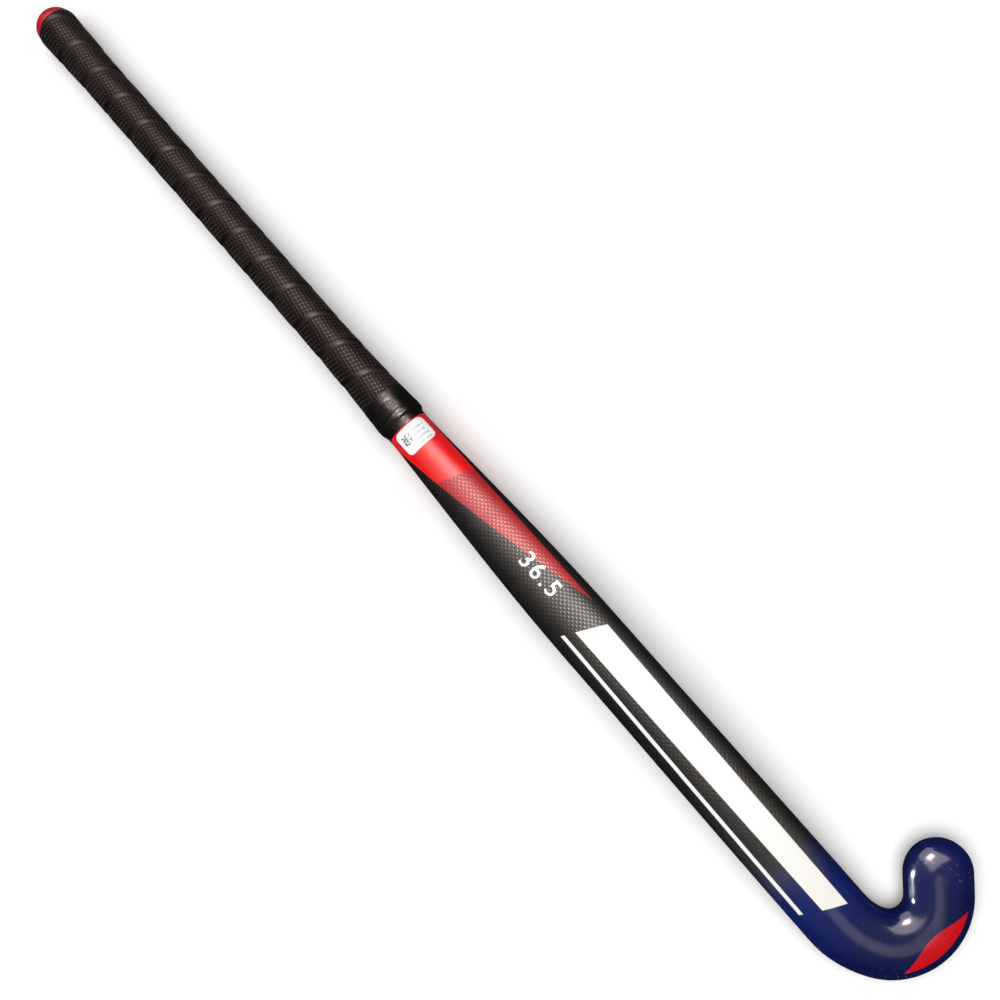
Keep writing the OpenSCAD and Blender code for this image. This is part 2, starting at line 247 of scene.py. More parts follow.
def bowed(p):
    """Bends points of the straight stick to the bow."""
    a = -BOW_TURN * np.clip((p[..., 0] - BOW_START) / BOW_STRETCH, 0, 1)
    flat = np.maximum(0, p[..., 0] - BOW_END)
    x = np.minimum(p[..., 0], BOW_START) - BOW_RADIUS * np.sin(a) + flat * np.cos(a)
    z = BOW_RADIUS * (np.cos(a) - 1) + flat * np.sin(a)
    return np.stack([x - p[..., 2] * np.sin(a), p[..., 1], z + p[..., 2] * np.cos(a)], -1)


def straight_rings(s, points):
    """Points (y, z) of each section set on the middle line of the unbowed stick."""
    x, y, a = (v[:, None] for v in line_at(s))
    return np.stack([x - points[..., 0] * np.sin(a), y + points[..., 0] * np.cos(a), points[..., 1]], -1)


def rest_tilt():
    """The slope at which the butt and the head's lower edge both touch the surface."""
    s = np.linspace(HOOK_START, TOE_START, 200)
    head = bowed(straight_rings(s, profiles(size_at(s), 48)[0])).reshape(-1, 3)
    low = head[head[:, 2].argmin()]
    butt = size_at([DOME_LENGTH])[0, 2] + GRIP_THICKNESS
    return math.atan2(-butt - low[2], low[0] - DOME_LENGTH)


TILT = rest_tilt()
LAY = np.array([
    [math.cos(TILT), 0, -math.sin(TILT)],
    [0, 1, 0],
    [math.sin(TILT), 0, math.cos(TILT)],
])


def laid(p):
    """Straight-stick points as the bowed stick lies, before it's moved to the frame's origin."""
    return bowed(p) @ LAY.T


def body_rings(s, by, sides):
    """Straight-stick rings of the stick's surface grown by a distance, and their girths."""
    s = np.asarray(s, float)
    e = np.maximum(0, s - TOE_START) / TOE_RADIUS
    grow = np.broadcast_to(np.asarray(by, float), s.shape)
    size = size_at(s)
    size[:, :4] += grow[:, None]
    place = np.where(s > TOE_START, TOE_START + e * (TOE_RADIUS + grow), s)
    points, girth = profiles(rounded_end(size, e), sides)
    return straight_rings(place, points), girth


def dome_rings(angles, by, sides):
    """Rings of the butt's dome at angles back from its rim."""
    angles = np.asarray(angles, float)
    size = np.repeat(size_at([DOME_LENGTH]), len(angles), axis=0)
    size[:, :4] = size[:, :4] * np.cos(angles)[:, None] + by
    points, girth = profiles(size, sides)
    return straight_rings(DOME_LENGTH * (1 - np.sin(angles)), points), girth


def frame_offset():
    """The move that brings the rebuilt skin into the frame: the CAD shell's box says where it is."""
    cap = TOE_START + TOE_RADIUS * np.sin(np.linspace(0, math.pi / 2, 60)[:-1])
    s = np.concatenate([[DOME_LENGTH], np.linspace(HOOK_START, TOE_START, 400), cap])
    points = laid(body_rings(s, 0.0, 96)[0]).reshape(-1, 3)
    low, high = (np.array(v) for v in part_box("outer_shell"))
    return np.array([high[0] - points[:, 0].max(), high[1] - points[:, 1].max(),
                     low[2] - points[:, 2].min()])


OFFSET = frame_offset()


def world(p):
    return laid(p) + OFFSET


def make_piece(name, points, faces, corners, replaces, material, plan=None):
    """A smooth mesh with its corners' surface coordinates, riding on the stick's one body."""
    mesh = bpy.data.meshes.new(name)
    mesh.from_pydata(points.tolist(), [], faces)
    if corners is not None:
        layer = mesh.uv_layers.new(name="surface")
        layer.data.foreach_set("uv", np.asarray(corners, np.float32).ravel())
    if plan is not None:
        attribute = mesh.attributes.new("plan", "FLOAT_VECTOR", "POINT")
        attribute.data.foreach_set("vector", np.asarray(plan, np.float32).ravel())
    mesh.polygons.foreach_set("use_smooth", np.ones(len(mesh.polygons), bool))
    mesh.materials.append(material)
    mesh.validate()
    obj = bpy.data.objects.new(name, mesh)
    bpy.context.scene.collection.objects.link(obj)
    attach(obj, "root")
    if replaces:
        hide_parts(replaces)
    return obj


def ring_faces(rows, sides):
    """Quads between rings, each ring closed."""
    i, j = np.meshgrid(np.arange(rows - 1), np.arange(sides), indexing="ij")
    k = (j + 1) % sides
    quads = np.stack([i * sides + j, i * sides + k, (i + 1) * sides + k, (i + 1) * sides + j], -1)
    return quads.reshape(-1, 4)


def ring_corners(along, girth):
    """Surface coordinates of the quads' corners: distance along, and girth from the top line."""
    rows, sides = girth.shape[0], girth.shape[1] - 1
    i, j = np.meshgrid(np.arange(rows - 1), np.arange(sides), indexing="ij")
    u = np.stack([along[i], along[i], along[i + 1], along[i + 1]], -1)
    v = np.stack([girth[i, j], girth[i, j + 1], girth[i + 1, j + 1], girth[i + 1, j]], -1)
    return np.stack([u, v], -1).reshape(-1, 2)


def ring_piece(name, straight, along, girth, replaces, material, capped=(False, False)):
    """A piece from rings, with its ends closed where asked."""
    rows, sides = straight.shape[:2]
    faces = ring_faces(rows, sides).tolist()
    corners = ring_corners(np.asarray(along, float), girth)
    for wanted, row, turn in zip(capped, (0, rows - 1), (-1, 1)):
        if wanted:
            faces.append(list(range(row * sides, (row + 1) * sides))[::turn])
            ring = np.stack([np.full(sides, along[row]), girth[row, :-1]], -1)
            corners = np.concatenate([corners, ring[::turn]])
    plan = straight.reshape(-1, 3)
    return make_piece(name, world(plan), faces, corners, replaces, material, plan)


# ---------------------------------------------------------------- materials


class Nodes:
    """A short way to write a material's node tree."""

    def __init__(self, name):
        self.material = bpy.data.materials.new(name)
        self.material.use_nodes = True
        self.tree = self.material.node_tree
        self.tree.nodes.clear()
        self.shader = self.new("ShaderNodeBsdfPrincipled")
        output = self.new("ShaderNodeOutputMaterial")
        self.link(self.shader.outputs[0], output.inputs["Surface"])

    def new(self, kind, **values):
        node = self.tree.nodes.new(kind)
        for key, value in values.items():
            setattr(node, key, value)
        return node

    def link(self, source, socket):
        self.tree.links.new(source, socket)

    def put(self, socket, value):
        if isinstance(value, bpy.types.NodeSocket):
            self.link(value, socket)
        else:
            socket.default_value = value

    def set(self, **values):
        """Plain values of the shader's own sockets."""
        for key, value in values.items():
            self.shader.inputs[key.replace("_", " ")].default_value = value

    def feed(self, name, value):
        self.put(self.shader.inputs[name], value)

    def math(self, operation, a, b=0.0, c=0.0, clamp=False):
        node = self.new("ShaderNodeMath", operation=operation, use_clamp=clamp)
        for socket, value in zip(node.inputs, (a, b, c)):
            self.put(socket, value)
        return node.outputs[0]

    def times(self, a, b):
        return self.math("MULTIPLY", a, b)

    def line(self, a, slope, start):
        """a times slope, plus start."""
        return self.math("MULTIPLY_ADD", a, slope, start)

    def length(self, a, b):
        """The length of the flat vector (a, b)."""
        return self.math("SQRT", self.math("ADD", self.times(a, a), self.times(b, b)))

    def ramp(self, value, low, high, to_low=0.0, to_high=1.0, smooth=True):
        """value mapped from low..high to to_low..to_high, held at the ends."""
        node = self.new("ShaderNodeMapRange")
        node.interpolation_type = "SMOOTHSTEP" if smooth else "LINEAR"
        for socket, v in zip(node.inputs, (value, low, high, to_low, to_high)):
            self.put(socket, v)
        return node.outputs[0]

    def blend(self, share, a, b):
        """Colour a where share is 0 and colour b where it's 1."""
        node = self.new("ShaderNodeMix", data_type="RGBA")
        self.put(node.inputs["Factor"], share)
        self.put(node.inputs[6], a)
        self.put(node.inputs[7], b)
        return node.outputs[2]

    def noise(self, scale, detail=2.0, roughness=0.5, vector=None):
        node = self.new("ShaderNodeTexNoise")
        node.inputs["Scale"].default_value = scale
        node.inputs["Detail"].default_value = detail
        node.inputs["Roughness"].default_value = roughness
        self.put(node.inputs["Vector"], vector or self.place())
        return node.outputs[0]

    def place(self):
        """The object's own coordinates, which don't slide with the view."""
        return self.new("ShaderNodeTexCoord").outputs["Object"]

    def split(self, vector):
        node = self.new("ShaderNodeSeparateXYZ")
        self.put(node.inputs[0], vector)
        return node.outputs

    def join(self, x, y, z=0.0):
        node = self.new("ShaderNodeCombineXYZ")
        for socket, value in zip(node.inputs, (x, y, z)):
            self.put(socket, value)
        return node.outputs[0]

    def surface(self):
        """Distance along and girth from the top line; on the grip, girth and distance across its tape."""
        return self.split(self.new("ShaderNodeUVMap", uv_map="surface").outputs[0])

    def plan(self):
        """Place on the straight stick: x from the butt, y towards the toe, z towards the back."""
        return self.split(self.new("ShaderNodeAttribute", attribute_name="plan").outputs["Vector"])

    def bump(self, height, distance, strength=1.0, under=None):
        node = self.new("ShaderNodeBump")
        node.inputs["Strength"].default_value = strength
        node.inputs["Distance"].default_value = distance
        self.put(node.inputs["Height"], height)
        if under is not None:
            self.put(node.inputs["Normal"], under)
        return node.outputs[0]


def colour(r, g, b):
    return (r, g, b, 1.0)


BLACK_TOW, DARK_TOW = colour(0.0022, 0.0020, 0.0018), colour(0.0150, 0.0130, 0.0112)
NAVY, DEEP_NAVY = colour(0.0032, 0.0088, 0.078), colour(0.0024, 0.0060, 0.052)
# LIT_NECK_NAVY: painted light, a brighter navy for the light that falls on the lower neck.
# SCRATCH_AND_GLINT: the hairlines' colour, partly real scuffing and partly a painted glint.
LIT_NECK_NAVY, SCRATCH_AND_GLINT = colour(0.0045, 0.0135, 0.125), colour(0.22, 0.24, 0.32)
RED, CRESCENT_RED = colour(0.80, 0.0030, 0.0070), colour(0.56, 0.0050, 0.0110)
WEAVE_RED, LIT_WEAVE_RED = colour(0.34, 0.0030, 0.0070), colour(0.58, 0.0050, 0.0120)
WHITE, CREAM = colour(0.86, 0.86, 0.86), colour(0.84, 0.81, 0.74)
GRIP_BLACK, WORN_GRIP = colour(0.0056, 0.0033, 0.0031), colour(0.0092, 0.0058, 0.0055)
# DIMPLE_SHADE: painted shade inside the grip's dimples.
# SEAM_SHADE: painted shadow along each step of the grip's tape.
DIMPLE_SHADE, SEAM_SHADE = colour(0.0014, 0.0010, 0.0010), colour(0.0010, 0.0008, 0.0008)
MARGIN_BLACK = colour(0.0012, 0.0008, 0.0008)
TAPE_BLACK, STRETCHED_BLACK = colour(0.0036, 0.0029, 0.0029), colour(0.0070, 0.0056, 0.0055)
CAP_RED, CAP_BRIGHT = colour(0.40, 0.0055, 0.014), colour(0.52, 0.0085, 0.021)
PAPER, PAPER_LIGHT = colour(0.88, 0.88, 0.89), colour(0.92, 0.92, 0.92)
PRINT_GREY, PRINT_BLACK = colour(0.36, 0.34, 0.35), colour(0.09, 0.08, 0.08)
INK_WHITE, INK_BRIGHT = colour(0.82, 0.82, 0.81), colour(0.90, 0.90, 0.89)
BRAID, LIT_BRAID = colour(0.010, 0.010, 0.011), colour(0.035, 0.035, 0.037)
FOAM, LIT_FOAM = colour(0.62, 0.56, 0.42), colour(0.78, 0.72, 0.58)
FLOOR_PALE, FLOOR_LIGHT = colour(0.93, 0.93, 0.93), colour(0.95, 0.95, 0.95)


def between(m, value, low, high, soft):
    """1 between low and high, with an edge as wide as soft."""
    a = m.ramp(value, m.math("SUBTRACT", low, soft), m.math("ADD", low, soft))
    b = m.ramp(value, m.math("SUBTRACT", high, soft), m.math("ADD", high, soft))
    return m.math("SUBTRACT", a, b, clamp=True)


def weave_pattern(m):
    """The diagonal lattice of a woven laminate: which tow is on top, and how near its crown is."""
    along, girth = m.surface()[:2]
    part_a = m.times(along, 2 * math.pi / WEAVE_ALONG)
    part_b = m.times(girth, 2 * math.pi / WEAVE_ROUND)
    top = m.times(m.math("SINE", part_a), m.math("SINE", part_b))
    crown = m.times(top, top)
    return m.ramp(top, -0.35, 0.55), m.ramp(crown, 0.0, 1.0)


def flash_masks(m, x, y):
    """The red flash: full width at the collar, with a heel-side edge that sweeps to a point."""
    part = m.ramp(x, FLASH_START, FLASH_END, smooth=False)
    sweep = m.times(part, m.line(part, FLASH_BEND, 1 - FLASH_BEND))
    heel_edge = m.line(sweep, FLASH_SWEEP, FLASH_HEEL)
    toe_edge = m.line(part, FLASH_SPREAD, FLASH_TOE)
    flash = between(m, y, heel_edge, toe_edge, PAINT_EDGE)
    flash = m.times(flash, m.ramp(x, FLASH_END + TIP_FADE, FLASH_END - TIP_FADE))
    diagonal = m.line(y, SOLID_SLANT, x)
    return flash, m.ramp(diagonal, SOLID_END - SOLID_FADE, SOLID_END + SOLID_FADE, 1.0, 0.0)


def stripe_mask(m, x, y):
    """One broad white stripe that narrows towards the head, and a pinstripe on its heel side."""
    run = m.ramp(x, NARROWING_START, NARROWING_END, smooth=False)
    slant = m.line(y, STRIPE_SLANT, x)
    ends = between(m, slant, STRIPE_START, STRIPE_END, PAINT_EDGE)
    across = m.line(run, STRIPE_DRIFT, y)
    heel_edge = m.line(run, BROAD_NARROWING, BROAD_HEEL)
    broad = between(m, across, heel_edge, BROAD_TOE, STRIPE_EDGE)
    pin = between(m, across, PIN_HEEL, PIN_TOE, STRIPE_EDGE)
    return m.times(m.math("ADD", broad, pin, clamp=True), ends)


def crescent_mask(m, x, y, z):
    """A plain crescent that follows the head's outer edge, on the back only."""
    from_x = m.math("SUBTRACT", x, CROOK_X)
    from_y = m.math("SUBTRACT", y, CROOK_Y)
    radius = m.length(from_x, from_y)
    angle = m.math("ARCTAN2", from_y, from_x)
    swing = m.math("DIVIDE", m.math("SUBTRACT", angle, CRESCENT_MIDDLE), CRESCENT_REACH)
    lens = m.math("SUBTRACT", 1.0, m.times(swing, swing), clamp=True)
    inner = m.line(lens, -CRESCENT_WIDTH, CRESCENT_RADIUS)
    outer = m.line(lens, -CRESCENT_INSET, CRESCENT_RADIUS)
    crescent = between(m, radius, inner, outer, PAINT_EDGE)
    crescent = m.times(crescent, m.ramp(lens, 0.0, 0.02))
    return m.times(crescent, m.ramp(z, 0.0, 0.002))


def laminate_material():
    """Woven laminate under satin lacquer, with its paint; the head's lacquer is glossier and more used."""
    m = Nodes("lacquered_laminate")
    x, y, z = m.plan()[:3]
    flash, solid = flash_masks(m, x, y)
    white = stripe_mask(m, x, y)
    crescent = crescent_mask(m, x, y, z)
    dark = m.ramp(m.line(y, NAVY_SLANT, x), NAVY_START, NAVY_END)
    top, crown = weave_pattern(m)
    bare = m.ramp(x, BARE_FADE, BARE_END, 1.0, 0.0)
    top, crown = m.times(top, bare), m.times(crown, bare)
    # Colour, one coat on another; the rim below the head's back stays black.
    tow = m.blend(top, BLACK_TOW, DARK_TOW)
    navy = m.blend(m.ramp(m.noise(22.0, 3.0), 0.35, 0.7), DEEP_NAVY, NAVY)
    # Painted light: the lower neck gets a brighter navy for the light that falls there, fading out between
    # NECK_START and NECK_END.
    navy = m.blend(m.ramp(x, NECK_START, NECK_END), LIT_NECK_NAVY, navy)
    coat = m.blend(dark, tow, navy)
    clear_red = m.blend(m.times(top, 0.8), WEAVE_RED, LIT_WEAVE_RED)
    coat = m.blend(flash, coat, m.blend(solid, clear_red, RED))
    coat = m.blend(crescent, coat, CRESCENT_RED)
    coat = m.blend(white, coat, m.blend(m.ramp(x, CREAM_START, CREAM_END), WHITE, CREAM))
    coat = m.blend(m.times(m.ramp(z, EDGE_HIGH, EDGE_LOW), dark), coat, BLACK_TOW)
    # Fine hairlines and rubbed patches, mostly on the head. Their light grey is partly real scuffing and
    # partly a painted glint, standing in for the light the hairlines catch.
    stretched = m.join(m.times(x, 240.0), m.times(y, 1300.0), m.times(z, 400.0))
    hair = m.noise(1.0, 3.0, 0.6, stretched)
    hairlines = m.ramp(hair, 0.62, 0.68)
    rubbed = m.ramp(m.noise(38.0, 4.0, 0.6), 0.50, 0.66)
    used = m.times(m.times(hairlines, rubbed), dark)
    m.feed("Base Color", m.blend(m.times(used, 0.55), coat, SCRATCH_AND_GLINT))
    # Gloss: satin on the weave, rougher on white print, glossiest on the head.
    printed = m.math("ADD", white, m.times(flash, solid), clamp=True)
    satin = m.ramp(top, 0.0, 1.0, 0.50, 0.30)
    gloss = m.line(white, 0.22, m.ramp(dark, 0.0, 1.0, 0.30, 0.13))
    plain = m.math("MAXIMUM", dark, printed)
    rough = m.line(gloss, plain, m.times(satin, m.math("SUBTRACT", 1.0, plain)))
    m.feed("Roughness", m.line(rubbed, 0.06, rough))
    # Relief: the tows, slow waves in the lacquer, and the hairlines.
    fade = m.ramp(plain, 0.0, 0.7, 1.0, 0.0)
    tows = m.bump(m.times(m.math("ADD", crown, top), fade), 0.00007, 0.7)
    waves = m.bump(m.noise(20.0, 2.0), 0.0012, 0.26, tows)
    m.feed("Normal", m.bump(m.math("SUBTRACT", m.noise(300.0, 1.0), used), 0.00004, 0.30, waves))
    m.set(Specular_IOR_Level=0.5)
    return m.material


def grip_material():
    """Soft black grip: its dimples sit where the mesh has them, between plain, darker margins."""
    m = Nodes("dimpled_grip")
    girth, across = m.surface()[:2]
    row = m.line(across, DIMPLE_SLANT, girth)
    cell_u = m.math("SUBTRACT", m.math("FRACT", m.math("DIVIDE", row, DIMPLE_ROUND)), 0.5)
    cell_v = m.math("SUBTRACT", m.math("FRACT", m.math("DIVIDE", across, DIMPLE_ALONG)), 0.5)
    far = m.length(cell_u, cell_v)
    field = between(m, across, GRIP_TUCK, GRIP_PITCH - GRIP_MARGIN, GRIP_FADE)
    border = m.math("SUBTRACT", 1.0, field)
    hole = m.times(m.ramp(far, DIMPLE_FLOOR, DIMPLE_RIM, 1.0, 0.0), field)
    seam = m.ramp(across, SEAM_START, SEAM_END, 1.0, 0.0)
    patch = m.noise(40.0, 3.0)
    base = m.blend(m.ramp(patch, 0.3, 0.7), GRIP_BLACK, WORN_GRIP)
    # Painted shade: the dimples are darkened for the shade that falls inside them.
    base = m.blend(m.times(hole, 0.80), base, DIMPLE_SHADE)
    # Painted shadow: the strip just below each step, where one turn of tape meets the next, is darkened.
    base = m.blend(m.times(seam, 0.8), base, SEAM_SHADE)
    m.feed("Base Color", m.blend(m.times(border, 0.75), base, MARGIN_BLACK))
    worn = m.line(hole, 0.6, m.line(border, 0.28, patch))
    m.feed("Roughness", m.ramp(m.math("ADD", worn, seam), 0.3, 1.5, 0.36, 0.72))
    fine = m.bump(m.noise(900.0, 3.0, 0.6), 0.00006, 0.5)
    m.feed("Normal", m.bump(m.math("SUBTRACT", 1.0, hole), 0.0009, 1.0, fine))
    m.set(Specular_IOR_Level=0.50, Specular_Tint=colour(1.0, 0.82, 0.80))
    return m.material


def tape_material():
    """Smooth stretched tape, glossy in patches and finely wrinkled."""
    m = Nodes("stretched_tape")
    m.feed("Base Color", m.blend(m.noise(260.0, 4.0, 0.6), TAPE_BLACK, STRETCHED_BLACK))
    m.feed("Roughness", m.ramp(m.noise(70.0, 3.0), 0.3, 0.7, 0.14, 0.34))
    m.feed("Normal", m.bump(m.noise(150.0, 3.0, 0.6), 0.0006, 0.6))
    m.set(Specular_IOR_Level=0.60, Specular_Tint=colour(1.0, 0.90, 0.86))
    return m.material


def cap_material():
    """Moulded red plastic, slightly mottled, with a fine satin grain."""
    m = Nodes("moulded_cap")
    mottle = m.noise(75.0, 3.0)
    m.feed("Base Color", m.blend(m.ramp(mottle, 0.3, 0.7), CAP_RED, CAP_BRIGHT))
    m.feed("Roughness", m.ramp(mottle, 0.3, 0.7, 0.42, 0.55))
    m.feed("Normal", m.bump(m.noise(700.0, 3.0), 0.00008, 0.5))
    m.set(Specular_IOR_Level=0.45)
    return m.material


def printed_rows(m, along, y):
    """Rows of short grey bars, each cut or kept by chance, which say nothing."""
    line = m.math("DIVIDE", along, PRINT_PITCH)
    cell = m.join(m.math("FLOOR", m.math("DIVIDE", y, PRINT_STEP)), m.math("FLOOR", line))
    dice = m.new("ShaderNodeTexWhiteNoise", noise_dimensions="2D")
    m.link(cell, dice.inputs["Vector"])
    kept = m.ramp(dice.outputs["Value"], 0.22, 0.24)
    dashes = m.times(between(m, m.math("FRACT", line), 0.22, 0.70, 0.04), kept)
    rows = between(m, along, PRINT_PITCH * 0.7, PRINT_PITCH * 4.9, PRINT_SOFT)
    wide = between(m, y, PRINT_HEEL, PRINT_TOE, PRINT_SOFT)
    return m.times(m.times(dashes, rows), wide)


def printed_block(m, along, y):
    """A block of random squares, 9 wide and 10 long, which holds no code."""
    cell = m.join(m.math("FLOOR", m.math("DIVIDE", along, BLOCK_STEP)),
                  m.math("FLOOR", m.math("DIVIDE", y, BLOCK_STEP)), BLOCK_SEED)
    dice = m.new("ShaderNodeTexWhiteNoise", noise_dimensions="3D")
    m.link(cell, dice.inputs["Vector"])
    wide = between(m, y, BLOCK_EDGE - 9 * BLOCK_STEP, BLOCK_EDGE, BLOCK_SOFT)
    area = m.times(wide, between(m, along, 6 * BLOCK_STEP, 16 * BLOCK_STEP, BLOCK_SOFT))
    return m.times(m.ramp(dice.outputs["Value"], 0.46, 0.48), area)


def label_material():
    """A coated white label with its printed rows and block."""
    m = Nodes("printed_label")
    x, y = m.plan()[:2]
    along = m.math("SUBTRACT", x, LABEL_START)
    paper = m.blend(m.noise(120.0, 3.0), PAPER, PAPER_LIGHT)
    base = m.blend(m.times(printed_rows(m, along, y), 0.60), paper, PRINT_GREY)
    m.feed("Base Color", m.blend(m.times(printed_block(m, along, y), 0.90), base, PRINT_BLACK))
    m.feed("Roughness", m.ramp(m.noise(200.0, 2.0), 0.3, 0.7, 0.36, 0.46))
    m.feed("Normal", m.bump(m.noise(150.0, 2.0), 0.00008, 0.25))
    m.set(Specular_IOR_Level=0.5)
    return m.material


def mark_material():
    """White screen print under a thin coat of lacquer."""
    m = Nodes("white_print")
    m.feed("Base Color", m.blend(m.noise(300.0, 3.0), INK_WHITE, INK_BRIGHT))
    m.feed("Roughness", m.ramp(m.noise(90.0, 2.0), 0.3, 0.7, 0.26, 0.34))
    m.feed("Normal", m.bump(m.noise(400.0, 2.0), 0.00003, 0.25))
    m.set(Coat_Weight=0.6, Coat_Roughness=0.12)
    return m.material


def inside_finish(m, share, low, high, rough):
    """The matt finish that the sealed inner pieces share."""
    m.feed("Base Color", m.blend(share, low, high))
    m.feed("Roughness", m.ramp(share, 0.0, 1.0, rough, rough + 0.12))
    m.feed("Normal", m.bump(share, 0.0002, 0.5))
    return m.material


def braid_material():
    """Bare woven tube."""
    m = Nodes("bare_braid")
    x, y = m.split(m.place())[:2]
    pattern = m.times(m.math("SINE", m.times(x, BRAID_WAVE)), m.math("SINE", m.times(y, BRAID_WAVE)))
    return inside_finish(m, m.ramp(pattern, -0.4, 0.4), BRAID, LIT_BRAID, 0.45)


def foam_material():
    """Cut foam with pores."""
    m = Nodes("cut_foam")
    return inside_finish(m, m.ramp(m.noise(900.0, 4.0, 0.6), 0.35, 0.65), FOAM, LIT_FOAM, 0.80)


# ---------------------------------------------------------------- pieces


def build_shell(material):
    """The laminate: one closed skin that turns in at the butt and lines the cavity."""
    covered = np.arange(DOME_LENGTH, FINISH_START, COVERED_STEP)
    shown = np.arange(FINISH_START, HOOK_START, SHOWN_STEP)
    hook = np.linspace(HOOK_START, TOE_START, HOOK_RINGS)[:-1]
    cap = TOE_START + TOE_RADIUS * np.sin(np.linspace(0, math.radians(89.2), TOE_RINGS))
    outside = np.concatenate([covered, shown, hook, cap])
    inside = np.concatenate([np.arange(DOME_LENGTH, HOOK_START, LINING_STEP), hook[::4], cap[::3]])
    outer, outer_girth = body_rings(outside, 0.0, SKIN_SIDES)
    lining, lining_girth = body_rings(inside, -SHELL_WALL, SKIN_SIDES)
    straight = np.concatenate([lining[::-1], outer])
    girth = np.concatenate([lining_girth[::-1], outer_girth])
    along = np.concatenate([inside[::-1], outside])
    return ring_piece("shell_skin", straight, along, girth, "outer_shell",
                      material, (True, True))


def build_cap(material):
    """The butt's dome, which runs a little way under the grip, and the spigot that goes into the shell."""
    angles = np.radians(np.linspace(89.0, 0, DOME_RINGS))
    dome, dome_girth = dome_rings(angles, CAP_PROUD * np.cos(angles)[:, None] ** 0.5, DOME_SIDES)
    skirt_at = np.append(np.linspace(SKIRT_START, SKIRT_END, 4), SKIRT_END)
    skirt_proud = np.array([1.0, 1.0, 0.95, 0.7, 0.03]) * CAP_PROUD
    skirt, skirt_girth = body_rings(skirt_at, skirt_proud, DOME_SIDES)
    spigot_at = DOME_LENGTH + np.array([0.001, SPIGOT_LENGTH - SPIGOT_CHAMFER, SPIGOT_LENGTH])
    spigot_in = np.array([0, 0, -SPIGOT_CHAMFER]) - SHELL_WALL - SPIGOT_GAP
    spigot, spigot_girth = body_rings(spigot_at, spigot_in, DOME_SIDES)
    straight = np.concatenate([dome, skirt, spigot])
    along = np.concatenate([DOME_LENGTH * (1 - np.sin(angles)), skirt_at, spigot_at])
    girth = np.concatenate([dome_girth, skirt_girth, spigot_girth])
    return ring_piece("butt_dome", straight, along, girth, "end_cap", material, (True, True))


def tape_height(across):
    """Height of the wound tape over its mean, from its tucked edge to its free, rounded edge."""
    part = across / GRIP_PITCH
    slope = TAPE_STEP * (2 * ease(part / 0.40) - 1) * 0.8 + TAPE_STEP * 0.2 * part
    return mix(-TAPE_STEP, slope, ease((1 - part) / TAPE_EDGE))


def dimples(girth, across):
    """How deep into a dimple each point of the tape is, from 0 to 1, as the material draws them too."""
    u = ((girth + across * DIMPLE_SLANT) / DIMPLE_ROUND) % 1 - 0.5
    v = (across / DIMPLE_ALONG) % 1 - 0.5
    hole = 1 - ease((np.hypot(u, v) - DIMPLE_FLOOR) / (DIMPLE_RIM - DIMPLE_FLOOR))
    begins = ease((across - GRIP_TUCK + GRIP_FADE) / (2 * GRIP_FADE))
    ends = ease((across - GRIP_PITCH + GRIP_MARGIN + GRIP_FADE) / (2 * GRIP_FADE))
    return hole * (begins - ends)


def grip_lift(s, around, across, from_top):
    """How far the tape stands off the shell, with its steps, dimples, slight lumps and rolled start."""
    lumps = GRIP_LUMPS * np.sin(s * LUMP_WAVE + 4 * around) * np.sin(s * SLOW_WAVE - 2 * around)
    edge = START_SLANT * (1 - np.cos(around - 0.4)) / 2
    rolled = np.sqrt(np.clip(1 - (1 - (s - GRIP_START - edge) / START_ROLL).clip(0, 1) ** 2, 0, 1))
    lift = GRIP_THICKNESS - GRIP_SINK + tape_height(across) + lumps
    return (lift - DIMPLE_DEPTH * dimples(from_top, across)) * mix(START_HEIGHT, 1.0, rolled)


def grip_faces(ids, first, step, from_top):
    """The net's faces and surface coordinates; a quad whose side has shrunk to a point is a triangle."""
    a, b = np.meshgrid(np.arange(len(ids) - 1), np.arange(GRIP_SIDES), indexing="ij")
    after = (b + 1) % GRIP_SIDES
    beside = a - np.where(b == GRIP_SIDES - 1, GRIP_ROWS, 0)
    near, far = ids[beside.clip(0), after], ids[(beside + 1).clip(0), after]
    quads = np.stack([ids[a, b], near, far, ids[a + 1, b]], -1).reshape(-1, 4)
    low = ((a - first) % GRIP_ROWS) * step
    girths = [from_top[a, b], from_top[a, b + 1], from_top[a, b + 1], from_top[a, b]]
    corners = np.stack([np.stack(girths, -1), np.stack([low, low, low + step, low + step], -1)], -1)
    corners = corners.reshape(-1, 4, 2)
    left = quads[:, 0] == quads[:, 3]
    right = quads[:, 1] == quads[:, 2]
    faces, places = [], []
    for pick, keep in (
            (~left & ~right, [0, 1, 2, 3]),
            (left & ~right, [0, 1, 2]),
            (~left & right, [0, 1, 3])):
        faces += quads[pick][:, keep].tolist()
        places.append(corners[pick][:, keep].reshape(-1, 2))
    return faces, np.concatenate(places)


def grip_closing(start_ring, end_ring, tip):
    """Faces of the grip's inside, whose points start at tip, and of its two ends."""
    deep = tip + (GRIP_INNER_RINGS - 1) * GRIP_SIDES
    faces = []
    for k in range(GRIP_SIDES):
        n = (k + 1) % GRIP_SIDES
        faces.append([tip + k, tip + n, start_ring[n], start_ring[k]])
        faces.append([end_ring[k], end_ring[n], deep + n, deep + k])
    return faces + (ring_faces(GRIP_INNER_RINGS, GRIP_SIDES)[:, ::-1] + tip).tolist()


